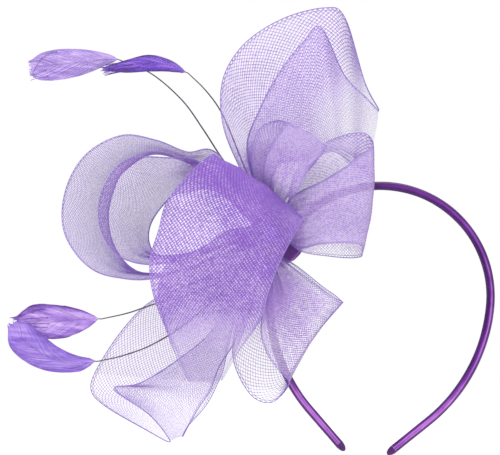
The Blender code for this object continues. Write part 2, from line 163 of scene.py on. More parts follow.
# Each loop as in the CAD: stations of (rim selvage, heel selvage) from one gathered end to the other.
NET_LOOPS = {
    "top_loop": [
        flat_end(92, 6.0),
        ((-84, -6, 6), (-67, -9, 3)),
        ((-95, 5, 29), (-59, -2, 10)),
        ((-97, 14, 53), (-51, 2, 11)),
        ((-87, 20, 74), (-43, 5, 15)),
        ((-67, 21, 90), (-35, 6, 19)),
        ((-44, 18, 98), (-28, 6, 20)),
        ((-33, 12, 93), (-22, 6, 17)),
        ((-19, 4, 58), (-18, 5, 11)),
        ((-10, -4, 43), (-15, 2, 10)),
        ((-18, -10, 49), (-19, -4, 11)),
        ((-31, -15, 60), (-25, -6, 14)),
        ((-46, -19, 84), (-32, -8, 18)),
        ((-55, -22, 75), (-39, -11, 16)),
        ((-66, -24, 58), (-47, -13, 13)),
        ((-75, -23, 37), (-55, -16, 11)),
        ((-80, -20, 13), (-64, -16, 3)),
        flat_end(92, 10.5),
    ],
    "right_loop": [
        flat_end(15, 3.8),
        ((-54, -18, 0), (-45, -18, -38)),
        ((-41, -19, 19), (-31, -13, -39)),
        ((-28, -18, 27), (-20, -11, -39)),
        ((-17, -16, 29), (-14, -12, -38)),
        ((-12, -20, 24), (-13, -17, -36)),
        ((-15, -27, 20), (-15, -23, -31)),
        ((-26, -32, 10), (-25, -28, -31)),
        ((-38, -33, 1), (-37, -29, -33)),
        ((-54.5, -27, -10), (-47, -26, -36)),
        flat_end(15, 9.5),
    ],
    "inner_loop": [
        flat_end(58, 13.0),
        ((-74, -30, -2), (-56, -31, -9)),
        ((-77, -33, 14), (-48, -35, 3)),
        ((-74, -36, 26), (-42, -38, 12)),
        ((-65, -40, 31), (-38, -41, 19)),
        ((-60, -43, 29), (-40, -44, 15)),
        ((-66, -44, 19), (-46, -44, 7)),
        ((-70, -41, 5), (-53, -41, -9)),
        flat_end(58, 17.0),
    ],
    "lower_right_loop": [
        flat_end(-62, 5.0),
        ((-70, -14, -62), (-49, -17, -45)),
        ((-77, -10, -80), (-41, -13, -50)),
        ((-77, -9, -100), (-32, -10, -56)),
        ((-66, -9, -118), (-25, -9, -60)),
        ((-54, -11, -121), (-21, -11, -63)),
        ((-46, -15, -110), (-21, -15, -63)),
        ((-52, -20, -103), (-26, -19, -61)),
        ((-60, -24, -93), (-35, -22, -56)),
        ((-64, -25, -77), (-46, -23, -49)),
        flat_end(-62, 11.0),
    ],
    "lower_left_loop": [
        flat_end(-118, 4.0),
        ((-98, -3, -58), (-76, -6, -68)),
        ((-124, 6, -72), (-80, -2, -90)),
        ((-139, 11, -89), (-82, 3, -106)),
        ((-151, 12, -111), (-85, 6, -116)),
        ((-154, 9, -124), (-88, 8, -124)),
        ((-146, 4, -132), (-92, 8, -131)),
        ((-124, -2, -142), (-98, 7, -139)),
        ((-107, -9, -148), (-101, 3, -145)),
        ((-119, -15, -134), (-98, -3, -138)),
        ((-140, -19, -121), (-93, -9, -127)),
        ((-126, -22, -116), (-88, -13, -118)),
        ((-106, -23, -101), (-84, -16, -104)),
        ((-88, -22, -82), (-74, -18, -80)),
        flat_end(-118, 9.5),
    ],
    "front_loop": [
        tip_end(340, 21.4),
        ((-65, -30, -39), (-86, -33, -30)),
        ((-66, -33, -52), (-100, -38, -41)),
        ((-69, -36, -66), (-115, -42, -49)),
        ((-72, -39, -80), (-120, -45, -63)),
        ((-76, -41, -93), (-116, -46, -80)),
        ((-80, -42, -103), (-108, -46, -98)),
        ((-82, -44, -109), (-99, -48, -112)),
        ((-74, -50, -92), (-106, -53, -98)),
        ((-65, -56, -76), (-115, -58, -82)),
        ((-62, -61, -61), (-122, -62, -66)),
        ((-58, -64, -46), (-125, -64, -50)),
        ((-53, -63, -33), (-122, -63, -33)),
        ((-48, -57, -22), (-118, -57, -15)),
        ((-48.5, -47, -19), (-100, -46, 8)),
        ((-54, -38, -19), (-93, -37, 4)),
        tip_end(345, 24.5),
    ],
    "outer_left_loop": [
        upright_end(143, 3.0, 10.0),
        ((-95, -21, 10), (-99, 1, -3)),
        ((-112, -24, 10), (-114, 10, 6)),
        ((-129, -26, 15), (-132, 18, 8)),
        ((-148, -26, 16), (-147, 23, -3)),
        ((-166, -26, 4), (-152, 25, -14)),
        ((-175, -26, -16), (-154, 25, -28)),
        ((-174, -26, -38), (-150, 22, -43)),
        ((-161, -26, -55), (-139, 15, -55)),
        ((-144, -25, -61), (-124, 6, -58)),
        ((-118, -24, -58), (-102, -2, -52)),
        upright_end(208, 3.0, 10.0),
    ],
    "inner_left_loop": [
        upright_end(158, 4.5, 11.5),
        ((-102, -22, 4), (-94, -1, -10)),
        ((-123, -24, 6), (-108, 6, -10)),
        ((-145, -26, 2), (-120, 12, -15)),
        ((-156, -27, -17), (-129, 14, -29)),
        ((-154, -27, -37), (-129, 13, -41)),
        ((-140, -26, -51), (-121, 7, -47)),
        ((-114, -24, -50), (-98, -2, -42)),
        upright_end(188, 4.5, 11.5),
    ],
}
# Each loop's cloth: the flat width that it holds, how far apart its strands lie, how much the finest
# threads between them cover in its middle and at its gathered ends, and how light it is painted as
# painted light and shade, from 0 to 1.
NET_CLOTH = {
    "top_loop": (50, 1.35, 0.37, 0.75, 0.3),
    "right_loop": (55, 1.35, 0.58, 0.8, 0.85),
    "inner_loop": (26, 1.35, 0.42, 0.8, 0.75),
    "lower_right_loop": (48, 1.4, 0.60, 0.8, 1.15),
    "lower_left_loop": (38, 1.4, 0.25, 0.6, 0.65),
    "front_loop": (60, 1.4, 0.74, 0.93, 0.36),
    "outer_left_loop": (45, 1.35, 0.27, 0.85, 0.28),
    "inner_left_loop": (38, 1.35, 0.37, 0.85, 0.1),
}
# The width that each loop's strands are laid out for.
WEAVE_WIDTH = {name: 36.0 if name == "inner_loop" else 70.0 for name in NET_LOOPS}
GATHER_REACH = 24.0  # how far from a gathered end the cloth stays dense
KNOT_SCALE = 820.0  # of the uneven thickness of the finest threads, per metre
DRIFT_SCALE = 55.0  # of the slow drift of colour along the ribbon, per metre
DRAWN_OUT = 0.2  # where the finest threads cover less than this, the strands are drawn out thin too
# Where a loop is drawn out or packed, and on the front loop's top and right also painted shade: (place,
# reach, how much the finest threads cover there).
COVER_SPOTS = {
    "top_loop": [
        ((-18, -2, 38), 30, 0.0),
        ((-82, 12, 54), 26, 0.47),
        ((-38, 14, 88), 18, 0.46),
        ((-74, -14, 6), 16, 0.9),
    ],
    "right_loop": [((-28, -14, -54), 22, 0.1), ((-30, -20, 26), 16, 0.45)],
    "inner_loop": [((-55, -41, 0), 16, 0.64)],
    "outer_left_loop": [((-102, -12, 8), 24, 0.5)],
    "inner_left_loop": [((-100, -12, 2), 18, 0.9)],
    "lower_right_loop": [((-67, -10, -107), 26, 0.28), ((-60, -23, -63), 13, 0.95)],
    "lower_left_loop": [((-104, 0, -142), 28, 0.18)],
    "front_loop": [
        ((-111, -63, -28), 17, 0.78),
        # packed cloth at the front loop's top, and in the next spot at its right, which also darkens the
        # colour there as painted shade
        ((-80, -46, 2), 28, 1.05),
        ((-79, -61, -24), 14, 0.95),
        ((-90, -46, -116), 40, 0.0),
        ((-65, -60, -48), 7, 1.05),
    ],
}

BORDERS = {"lower_right_loop": 4.5}  # how far a loop's outer layer reaches past the inner one
FOLD_REACH = 1.6  # how many times as far it reaches at the fold as at the selvage
SOFT_SELVAGES = {"front_loop": 0.7}  # how much of a loop's selvages is lost where it is drawn out

# Each feather as in the CAD: root on the post, route of the bare quill, then the vane's edges.
FEATHERS = {
    "upper_light": (
        (128, 3.6),
        [(-78, -2, -8), (-94, 9, 10), (-105, 12, 24), (-118, 12, 39), (-136, 10, 52), (-154, 8, 58)],
        [
            ((-155.5, 8, 59), (-155.5, 8, 58)),
            ((-163, 7, 61), (-163, 7, 54)),
            ((-174, 6, 62), (-174, 6, 48)),
            ((-187, 5, 61), (-187, 5, 44)),
            ((-197, 4, 58), (-197, 4, 43)),
            ((-203, 3, 53), (-202, 3, 45)),
        ],
    ),
    "upper_dark": (
        (100, 2.4),
        [(-72, 0, -10), (-83, 7, 10), (-89, 12, 22), (-97, 15, 36), (-106, 10, 46), (-116, 4, 54)],
        [
            ((-117.5, 3, 55), (-117.5, 3, 54)),
            ((-126, 2, 60), (-125, 2, 54)),
            ((-138, 0, 62), (-137, 0, 53)),
            ((-150, -2, 58), (-150, -2, 51)),
            ((-161, -4, 53), (-161, -4, 51)),
        ],
    ),
    "lower_straight": (
        (222, 13.0),
        [(-80, -22, -51.5), (-94.5, -28, -61.5), (-108, -30, -68)]
        + [(-122, -30, -73), (-135.5, -30, -79), (-149.5, -30, -83.5)],
        [
            ((-151, -30, -83), (-151, -30, -84)),
            ((-162, -31, -79.5), (-158, -31, -90)),
            ((-175.5, -32, -78), (-168.5, -32, -95.5)),
            ((-187, -33, -79.5), (-181.5, -33, -96.5)),
            ((-195, -34, -86.5), (-193, -34, -93.5)),
        ],
    ),
    "lower_curved": (
        (232, 16.5),
        [(-83, -28, -59.5), (-99.5, -33, -77), (-111, -34, -87.5)]
        + [(-123.5, -34, -96), (-136.5, -34, -102), (-149, -35, -106)],
        [
            ((-150.5, -35, -105), (-150.5, -35, -107)),
            ((-160.5, -36, -104), (-159.5, -36, -112.5)),
            ((-171.5, -37, -100), (-175, -37, -113.5)),
            ((-180, -38, -94), (-187.5, -38, -109.5)),
            ((-186.5, -39, -90), (-196.5, -39, -102)),
            ((-193.5, -40, -88), (-198, -40, -92)),
        ],
    ),
}


# ---------------------------------------------------------------- meshes


def add_mesh(name, points, faces, look, slot, body="crown", uvs=None):
    """A piece from points in mm. uvs, if given, is one (along, across) in metres per point."""
    mesh = bpy.data.meshes.new(name)
    mesh.from_pydata((np.asarray(points) * MM).tolist(), [], faces)
    mesh.shade_smooth()
    mesh.materials.append(look)
    if uvs is not None:
        corners = np.zeros(len(mesh.loops), int)
        mesh.loops.foreach_get("vertex_index", corners)
        layer = mesh.uv_layers.new(name="weave")
        layer.data.foreach_set("uv", np.asarray(uvs)[corners].ravel())
    piece = bpy.data.objects.new(name, mesh)
    bpy.context.scene.collection.objects.link(piece)
    if body:
        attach(piece, body)
    return piece


def set_attribute(piece, name, values):
    """A number at each point of a piece, which its look reads."""
    made = piece.data.attributes.new(name, "FLOAT", "POINT")
    made.data.foreach_set("value", np.asarray(values).ravel())


def ring_faces(paths, rings, sides, start=0):
    """Faces of closed tubes: paths of rings of sides points, each tube capped at both ends."""
    tube = (start + np.arange(paths) * rings * sides)[:, None, None]
    ring = (np.arange(rings - 1) * sides)[None, :, None]
    j = np.arange(sides)[None, None, :]
    low, high = tube + ring + j, tube + ring + (j + 1) % sides
    faces = np.stack([low, low + sides, high + sides, high], -1).reshape(-1, 4).tolist()
    for k in range(paths):
        first = start + k * rings * sides
        last = first + (rings - 1) * sides
        faces.append(list(range(first, first + sides)))
        faces.append(list(range(last + sides - 1, last - 1, -1)))
    return faces


def tubes(paths, normals, wide, thick, sides, start=0):
    """Closed tubes along paths (tube, point, xyz): wide across the normals, thick along them."""
    paths = np.asarray(paths, float)
    run = unit(np.gradient(paths, axis=1))
    side = unit(np.cross(run, np.broadcast_to(normals, paths.shape)))
    rise = np.cross(side, run)
    turns = np.arange(sides) * math.tau / sides
    wide = np.broadcast_to(wide, paths.shape[:2])[:, :, None, None]
    thick = np.broadcast_to(thick, paths.shape[:2])[:, :, None, None]
    rings = paths[:, :, None] + side[:, :, None] * np.cos(turns)[:, None] * wide
    rings = rings + rise[:, :, None] * np.sin(turns)[:, None] * thick
    return rings.reshape(-1, 3), ring_faces(paths.shape[0], paths.shape[1], sides, start)


def joined(parts):
    """Several (points, faces) as one, the faces renumbered."""
    points, faces, start = [], [], 0
    for some, own in parts:
        points.append(some)
        faces += [[v + start for v in face] for face in own]
        start += len(some)
    return np.vstack(points), faces


def grid_faces(rows, columns):
    i, j = np.meshgrid(np.arange(rows - 1), np.arange(columns - 1), indexing="ij")
    a = i * columns + j
    return np.stack([a, a + 1, a + columns + 1, a + columns], -1).reshape(-1, 4).tolist()


def sweep(centres, outs, section):
    """Rings of a section, (along the outward normal, along Y), carried along a line in XZ."""
    section = np.asarray(section)
    across = np.array([0.0, 1.0, 0.0])
    return centres[:, None] + outs[:, None] * section[..., 0:1] + across * section[..., 1:2]


# ---------------------------------------------------------------- materials


def linear(red, green, blue):
    """A colour of 0 to 255 as the eye reads it, in the renderer's linear measure."""
    shares = [c / 255 for c in (red, green, blue)]
    return tuple(((c + 0.055) / 1.055) ** 2.4 if c > 10 / 255 else c / 12.92 for c in shares)


def mixed(a, b, share):
    """The colour this share of the way from a to b."""
    return [x + (y - x) * share for x, y in zip(a, b)]


def plain_look(name, roughness, **sockets):
    look = bpy.data.materials.new(name)
    look.use_nodes = True
    tree = look.node_tree
    shader = tree.nodes["Principled BSDF"]
    shader.inputs["Roughness"].default_value = roughness
    for socket, value in sockets.items():
        shader.inputs[socket.replace("_", " ")].default_value = value
    return look, tree, shader


def node(tree, kind, inputs=None, **settings):
    made = tree.nodes.new(kind)
    for key, value in settings.items():
        setattr(made, key, value)
    for key, value in (inputs or {}).items():
        if isinstance(value, bpy.types.NodeSocket):
            tree.links.new(value, made.inputs[key])
        else:
            made.inputs[key].default_value = value
    return made


def sums(tree, operation, *inputs, clamp=False):
    """A sum of sockets and numbers, which one maths node does."""
    made = node(tree, "ShaderNodeMath", dict(enumerate(inputs)), operation=operation, use_clamp=clamp)
    return made.outputs["Value"]


def attribute(tree, name):
    return node(tree, "ShaderNodeAttribute", attribute_name=name).outputs["Fac"]


def ramp(tree, factor, stops):
    made = node(tree, "ShaderNodeValToRGB", {"Fac": factor})
    elements = made.color_ramp.elements
    while len(elements) < len(stops):
        elements.new(0.5)
    for element, (place, colour) in zip(elements, stops):
        element.position = place
        element.color = (*colour, 1.0)
    return made.outputs["Color"]


def dye(tree, shader, factor, *stops):
    """Colours a shader by a factor: stops of (place, colour of 0 to 255)."""
    colours = ramp(tree, factor, [(place, linear(*colour)) for place, colour in stops])
    tree.links.new(colours, shader.inputs["Base Color"])


def object_place(tree, stretch=(1, 1, 1)):
    place = node(tree, "ShaderNodeTexCoord").outputs["Object"]
    return node(tree, "ShaderNodeMapping", {"Vector": place, "Scale": stretch}).outputs["Vector"]


def noise(tree, vector, scale, detail=3.0, roughness=0.55):
    inputs = {"Vector": vector, "Scale": scale, "Detail": detail, "Roughness": roughness}
    return node(tree, "ShaderNodeTexNoise", inputs).outputs["Fac"]


def bump(tree, shader, height, strength, distance):
    made = node(tree, "ShaderNodeBump", {"Height": height, "Strength": strength, "Distance": distance})
    tree.links.new(made.outputs["Normal"], shader.inputs["Normal"])


def clouded_look(name, roughness, clouds, dyes, grain, relief, stretch=(1, 1, 1), **sockets):
    """Clouds of noise between two dyes; the relief is finer noise, or else the clouds themselves."""
    look, tree, shader = plain_look(name, roughness, **sockets)
    cloud = noise(tree, object_place(tree, stretch), *clouds)
    dye(tree, shader, cloud, *dyes)
    fine = noise(tree, object_place(tree), *grain) if grain else cloud
    bump(tree, shader, fine, *relief)
    return look


def net_look(name, shade, lit, roughness, **sockets):
    """Glassy dyed monofilament: its colour drifts a little along the ribbon."""
    dyes, relief = [(0.3, shade), (0.7, lit)], (0.25, 0.00004)
    return clouded_look(name, roughness, (DRIFT_SCALE,), dyes, (2600.0, 2.0), relief, **sockets)


WAVE_PERIOD = math.pi / 10  # of the wave texture at scale 1
LINE_SHARPNESS = 2.2


def bias_lines(tree, width, spacing):
    """1 on the strands of both directions of a ribbon this wide, 0 between them."""
    place = node(tree, "ShaderNodeUVMap", uv_map="weave").outputs["UV"]
    lines = None
    for turn, shift in ((-45, 0.0), (45, width * MM / math.sqrt(2))):
        settings = {"Vector": place, "Location": (shift, 0, 0), "Rotation": (0, 0, math.radians(turn))}
        lane = node(tree, "ShaderNodeMapping", settings).outputs["Vector"]
        scale = WAVE_PERIOD / (spacing * MM)
        wave = node(tree, "ShaderNodeTexWave", {"Vector": lane, "Scale": scale})
        thin = sums(tree, "POWER", wave.outputs["Fac"], LINE_SHARPNESS)
        lines = sums(tree, "MAXIMUM", thin, thin if lines is None else lines)
    return lines


def haze_look(name, painted_lightness, width, spacing):
    """The finest threads of a loop's net, too thin to see singly: open more here and less there, with a
    painted glint in the open cells and each loop painted lighter or darker.
    """
    # the fifth value paints the whole loop lighter or darker: painted light and shade, as the cloth is
    # the same in every loop
    shade = mixed(linear(102, 55, 162), linear(158, 120, 202), painted_lightness)
    lit = mixed(linear(165, 120, 208), linear(220, 197, 238), painted_lightness)
    painted_glint = mixed(linear(216, 190, 244), linear(252, 247, 254), painted_lightness)
    look, tree, shader = plain_look(f"net_haze_{name}", 0.55, Specular_IOR_Level=0.15)
    place = object_place(tree)
    lines = bias_lines(tree, width, spacing)
    cover = attribute(tree, "cover")
    limits = {"From Min": 0.36, "From Max": 0.64, "To Min": 0.3, "To Max": 1.0}
    uneven = {"Value": noise(tree, place, KNOT_SCALE, 1.0), **limits}
    knots = node(tree, "ShaderNodeMapRange", uneven).outputs["Result"]
    drift = sums(tree, "MULTIPLY_ADD", noise(tree, place, DRIFT_SCALE), 0.45, 1.5)
    light = sums(tree, "SUBTRACT", drift, cover)
    for packed in (lines, knots):
        light = sums(tree, "SUBTRACT", light, sums(tree, "MULTIPLY", packed, 0.6))
    # the last stop is a painted glint, a highlight painted into the open cells between the threads
    stops = [(0.1, shade), (0.5, lit), (0.8, painted_glint)]
    tree.links.new(ramp(tree, light, stops), shader.inputs["Base Color"])
    threads = sums(tree, "ADD", sums(tree, "MULTIPLY", lines, 0.4), sums(tree, "MULTIPLY", knots, 0.35))
    share = sums(tree, "ADD", threads, 0.45)
    tree.links.new(sums(tree, "MULTIPLY", cover, share, clamp=True), shader.inputs["Alpha"])
    return look


def satin_look(name, shade, lit, painted_highlight, roughness, sheen):
    """Satin ribbon wound on the band: fine weft across it, drawn threads along it; its colour also holds
    painted highlight streaks and painted shade between them.
    """
    look, tree, shader = plain_look(
        name, roughness, Sheen_Weight=sheen, Sheen_Roughness=0.35, Specular_IOR_Level=0.22
    )
    place = node(tree, "ShaderNodeUVMap", uv_map="weave").outputs["UV"]
    drawn = node(tree, "ShaderNodeMapping", {"Vector": place, "Scale": (60, 2600, 1)}).outputs["Vector"]
    threads = noise(tree, drawn, 1.0, 4.0)
    cloud = noise(tree, object_place(tree), 45.0)
    half = sums(tree, "MULTIPLY", sums(tree, "ADD", threads, cloud), 0.5)
    # the added attribute paints highlight streaks along the band; where it is low the satin is painted
    # dark as shade
    tone = sums(tree, "ADD", half, attribute(tree, "painted_gleam"))
    dye(tree, shader, tone, (0.3, shade), (0.62, lit), (0.95, painted_highlight))
    picks = {"Vector": place, "Scale": 640.0, "Distortion": 1.2, "Detail Scale": 2.0}
    weft = node(tree, "ShaderNodeTexWave", picks, bands_direction="X").outputs["Fac"]
    bump(tree, shader, sums(tree, "ADD", weft, threads), 0.28, 0.00008)
    return look


def barb_look(name, dark, shade, middle, lit):
    """Dyed feather barbs: soft streaks that change from one lock of barbs to the next."""
    look, tree, shader = plain_look(
        name, 0.55, Sheen_Weight=0.35, Sheen_Roughness=0.4, Specular_IOR_Level=0.35
    )
    streaks = noise(tree, object_place(tree, (70, 300, 420)), 1.0, 5.0, 0.62)
    dyed = sums(tree, "SUBTRACT", streaks, attribute(tree, "rim"))
    dye(tree, shader, dyed, (0.05, dark), (0.34, shade), (0.5, middle), (0.66, lit))
    fine = noise(tree, object_place(tree, (400, 3000, 3600)), 1.0, 2.0)
    bump(tree, shader, fine, 0.5, 0.00008)
    return look


LOOKS = {
    "net": net_look("net_strand", (122, 80, 184), (150, 110, 204), 0.34, Specular_IOR_Level=0.5),
    "selvage": net_look("net_selvage", (126, 100, 176), (152, 128, 198), 0.4),
    "heart": net_look("net_packed", (140, 98, 204), (168, 128, 224), 0.5),
    # the satin's last colour is a painted highlight, and its first the painted shade at its edges
    "satin": satin_look("satin_violet", (50, 6, 76), (104, 36, 138), (198, 132, 216), 0.36, 0.04),
    "tip": satin_look("satin_tip", (58, 18, 80), (86, 36, 110), (120, 62, 148), 0.4, 0.1),
    "felt": clouded_look(
        "base_felt_violet", 0.92, (380.0, 6.0, 0.7), [(0.35, (98, 28, 134)), (0.68, (128, 48, 160))],
        grain=(2400.0, 5.0, 0.8), relief=(0.8, 0.0003), Sheen_Weight=0.5, Sheen_Roughness=0.6,
    ),
    "thread": clouded_look(
        "sewing_thread", 0.6, (900.0, 3.0), [(0.35, (128, 88, 178)), (0.65, (164, 126, 210))],
        grain=None, relief=(0.5, 0.0001), Sheen_Weight=0.3,
    ),
    "steel": clouded_look(
        "brushed_spring_steel", 0.3, (4.0, 5.0), [(0.3, (150, 152, 158)), (0.7, (196, 198, 202))],
        grain=None, relief=(0.15, 0.00003), stretch=(60, 900, 60), Metallic=1.0,
    ),
    "horn": clouded_look(
        "quill_horn_dyed", 0.38, (160.0, 4.0), [(0.3, (44, 32, 50)), (0.72, (82, 58, 92))],
        grain=(1500.0,), relief=(0.2, 0.00005), Specular_IOR_Level=0.6,
    ),
}
BARB_COLOURS = {
    "upper_light": ("barb_light", (112, 84, 160), (164, 134, 212), (188, 160, 228), (212, 190, 242)),
    "upper_dark": ("barb_dark", (70, 24, 112), (96, 52, 176), (124, 76, 204), (158, 112, 226)),
    "lower_straight": ("barb_mid", (92, 38, 148), (156, 112, 210), (190, 152, 232), (224, 192, 246)),
    "lower_curved": ("barb_full", (98, 62, 164), (134, 96, 204), (160, 124, 220), (186, 154, 234)),
}
LOOKS |= {name: barb_look(*colours) for name, colours in BARB_COLOURS.items()}


# ---------------------------------------------------------------- net loops


def grid_normals(grid):
    along = np.gradient(grid, axis=0)
    across = np.gradient(grid, axis=1)
    return unit(np.cross(along, across))


def spaced(points, length, even):
    """Points of a line at even lengths along it."""
    return np.stack([np.interp(even, length, points[:, axis]) for axis in range(3)], -1)


def loop_grid(stations, seed):
    """The ribbon's middle surface with its gathers, rows from selvage to selvage evenly along it."""
    rims = curve([s[0] for s in stations], GRID_ALONG * 3)
    heels = curve([s[1] for s in stations], GRID_ALONG * 3)
    length = arc_length((rims + heels) / 2)
    even = np.linspace(0, length[-1], GRID_ALONG + 1)
    rims, heels = spaced(rims, length, even), spaced(heels, length, even)
    side = heels - rims
    lift = np.cross(np.gradient(rims + heels, axis=0), side)
    lift = unit(lift) * NET_CROWN * np.linalg.norm(side, axis=1, keepdims=True)
    t = np.linspace(0, 1, GRID_ACROSS + 1)[None, :, None]
    grid = rims[:, None] + side[:, None] * t + lift[:, None] * (4 * t * (1 - t))
    draw = np.random.default_rng(seed)
    return gathered(grid, even, draw), even


def gathered(grid, even, draw):
    """Adds the pleats that fan out from both gathered ends, and slow waves between them."""
    t = np.linspace(0, 1, GRID_ACROSS + 1)[None, :]
    near = np.minimum(even, even[-1] - even)[:, None]
    phase = draw.uniform(0, math.tau, 4)
    swing = 0.5 * np.sin(even / 31 + phase[0])[:, None]
    tight = np.exp(-near / PLEAT_REACH) * np.sin(math.tau * PLEATS * t + phase[1] + swing)
    long = np.exp(-near / FLUTE_REACH) * np.sin(math.tau * 3.2 * t + phase[2] + 2 * swing)
    slow = (1 - np.exp(-near / WAVE_REACH)) * np.sin(even[:, None] / 17 + 3 * t + phase[3])
    lift = PLEAT_LIFT * tight + FLUTE_LIFT * long + WAVE_LIFT * slow
    return grid + grid_normals(grid) * lift[..., None]


def sample(grid, rows, columns):
    """Points of a grid at fractional rows and columns."""
    i = np.clip(rows, 0, grid.shape[0] - 1.0001)
    j = np.clip(columns, 0, grid.shape[1] - 1.0001)
    i0, j0 = i.astype(int), j.astype(int)
    fi, fj = (i - i0)[..., None], (j - j0)[..., None]
    low = grid[i0, j0] * (1 - fj) + grid[i0, j0 + 1] * fj
    high = grid[i0 + 1, j0] * (1 - fj) + grid[i0 + 1, j0 + 1] * fj
    return low * (1 - fi) + high * fi


def strand_tubes(grid, normals, length, width, spacing, thin):
    """The bias strands of both directions, each from selvage to selvage or to an end."""
    parts = []
    pitch = spacing * math.sqrt(2)
    spread = np.linalg.norm(np.diff(grid, axis=1), axis=-1).sum(1)
    starts = np.arange(-width + pitch / 2, length, pitch)
    first = np.maximum(0, -starts)[:, None]
    last = np.minimum(width, length - starts)[:, None]
    keep = (last - first)[:, 0] > 2.0
    starts, first, last = starts[keep, None], first[keep], last[keep]
    over = first + (last - first) * np.linspace(0, 1, STRAND_STEPS)[None, :]
    rows = (starts + over) / length * GRID_ALONG
    for direction in (1, -1):
        share = over / width if direction == 1 else 1 - over / width
        columns = share * GRID_ACROSS
        lean = sample(normals, rows, columns)
        paths = sample(grid, rows, columns) + lean * STRAND_RADIUS * direction
        share = np.interp(rows, np.arange(GRID_ALONG + 1), spread / width)
        drawn_out = sample(thin[..., None], rows, columns)[..., 0]
        radius = STRAND_RADIUS * np.clip(1.25 * share, 0.2, 1) * (1 - 0.55 * drawn_out)
        parts.append(tubes(paths, lean, radius, radius, 3))
    return joined(parts)


def flat_places(even, width):
    """Where each point of a loop's grid lies on the flat ribbon, in metres along and across it."""
    across = np.linspace(0, width, GRID_ACROSS + 1)
    along, across = np.meshgrid(even, across, indexing="ij")
    return np.stack([along, across], -1).reshape(-1, 2) * MM


def light_border(name, grid, width):
    """1 along the outer edges of a loop that lies with one layer reaching past the other, else 0."""
    wide = BORDERS.get(name, 0.0)
    reach = np.linalg.norm(grid[:, GRID_ACROSS // 2] - BASE, axis=-1)
    along = np.linalg.norm(grid - grid[np.argmax(reach)][None], axis=-1)
    across = np.linspace(width, 0, GRID_ACROSS + 1)[None, :]
    away = np.minimum(along / FOLD_REACH, across)
    return 1 / (1 + np.exp((away - wide) * 3.0)) * (wide > 0)


def haze_cover(name, grid, even, middle, ends):
    """How much of the light the finest threads stop all over a loop, and where it is drawn out."""
    near = np.minimum(even, even[-1] - even)[:, None]
    cover = middle + (ends - middle) * np.exp(-((near / GATHER_REACH) ** 2)) + np.zeros(grid.shape[:2])
    thinned = np.zeros(grid.shape[:2])
    for place, reach, closed in COVER_SPOTS.get(name, []):
        share = np.exp(-((np.linalg.norm(grid - np.array(place), axis=-1) / reach) ** 4))
        cover += (closed - cover) * share
        thinned = np.maximum(thinned, share * (closed < DRAWN_OUT))
    cover *= 1 - 0.75 * light_border(name, grid, WEAVE_WIDTH[name])
    return cover, thinned


def selvage_tubes(grid, normals, width, thin):
    """Two threads along each selvage of a loop, thinner where it is drawn out."""
    parts = []
    inset = GRID_ACROSS * SELVAGE_INSET / width
    rows = np.arange(GRID_ALONG + 1.0)
    threads = (
        (0, SELVAGE_RADIUS),
        (GRID_ACROSS, SELVAGE_RADIUS),
        (inset, INNER_SELVAGE_RADIUS),
        (GRID_ACROSS - inset, INNER_SELVAGE_RADIUS),
    )
    for column, radius in threads:
        columns = np.full(GRID_ALONG + 1, float(column))
        path, lean = sample(grid, rows, columns), sample(normals, rows, columns)
        size = radius * (1 - sample(thin[..., None], rows, columns)[..., 0])
        parts.append(tubes(path[None], lean[None], size, size, 6))
    return joined(parts)


def build_loops():
    for seed, (name, stations) in enumerate(NET_LOOPS.items(), 11):
        width = WEAVE_WIDTH[name]
        flat_width, spacing, middle, ends, painted_lightness = NET_CLOTH[name]
        grid, even = loop_grid(stations, seed)
        normals = grid_normals(grid)
        points, faces = grid.reshape(-1, 3), grid_faces(GRID_ALONG + 1, GRID_ACROSS + 1)
        look = haze_look(name, painted_lightness, width, spacing)
        film = add_mesh(f"{name}_film", points, faces, look, "net", uvs=flat_places(even, width))
        covered, thinned = haze_cover(name, grid, even, middle, ends)
        set_attribute(film, "cover", covered)
        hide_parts(name)
        threads = strand_tubes(grid, normals, even[-1], width, spacing, thinned)
        strands = add_mesh(f"{name}_strands", *threads, LOOKS["net"], "net")
        edges = selvage_tubes(grid, normals, width, thinned * SOFT_SELVAGES.get(name, 0.0))
        rims = add_mesh(f"{name}_selvages", *edges, LOOKS["selvage"], "net")


def build_heart():
    """The sewn wad of ribbon ends: deep flutes that close over the post's free end."""
    sides, levels = 112, 40
    turns = np.arange(sides) * math.tau / sides
    flutes = np.sin(19 * turns) + 0.6 * np.sin(31 * turns + 1.3) + 0.4 * np.sin(7 * turns + 0.4)
    rings = []
    for level in range(levels):
        share = level / (levels - 1)
        height = BASE_THICK / 2 + 0.3 + (POST_TOP - BASE_THICK / 2 - 0.3) * share
        waist = 1 - 0.16 * math.exp(-(((share - 0.3) / 0.16) ** 2))
        dome = math.sqrt(max(0.0, 1 - max(0.0, (share - 0.8) / 0.2) ** 2)) * 0.96 + 0.04
        radius = POST_RADIUS * waist * dome * (0.94 + 0.045 * flutes)
        rings.append(BASE + NORMAL * height + around_post(turns) * radius[:, None])
    points = np.array(rings).reshape(-1, 3)
    faces = ring_faces(1, levels, sides)
    heart = add_mesh("gather_heart", points, faces, LOOKS["heart"], "gathered_net")
    turn_outwards(heart)
    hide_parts("gather_post")


def turn_outwards(piece):
    """Turns a closed piece's faces outwards."""
    shell = bmesh.new()
    shell.from_mesh(piece.data)
    if shell.calc_volume(signed=True) < 0:
        bmesh.ops.reverse_faces(shell, faces=shell.faces[:])
    shell.to_mesh(piece.data)
    shell.free()


# ---------------------------------------------------------------- feathers

FEATHER_SLOTS = {
    "upper_light": "feather_light",
    "upper_dark": "feather_dark",
    "lower_straight": "feather_mid",
    "lower_curved": "feather_mid",
}
FACING = np.array([0.0, -1.0, 0.0])  # the way that the vanes face
VANE_STEPS = 60
BARBS = 120  # on each side of a shaft
BARB_STEPS = 12
BARB_SIDES = 4
BARB_HALF_WIDTH = 0.30
BARB_HALF_THICK = 0.05
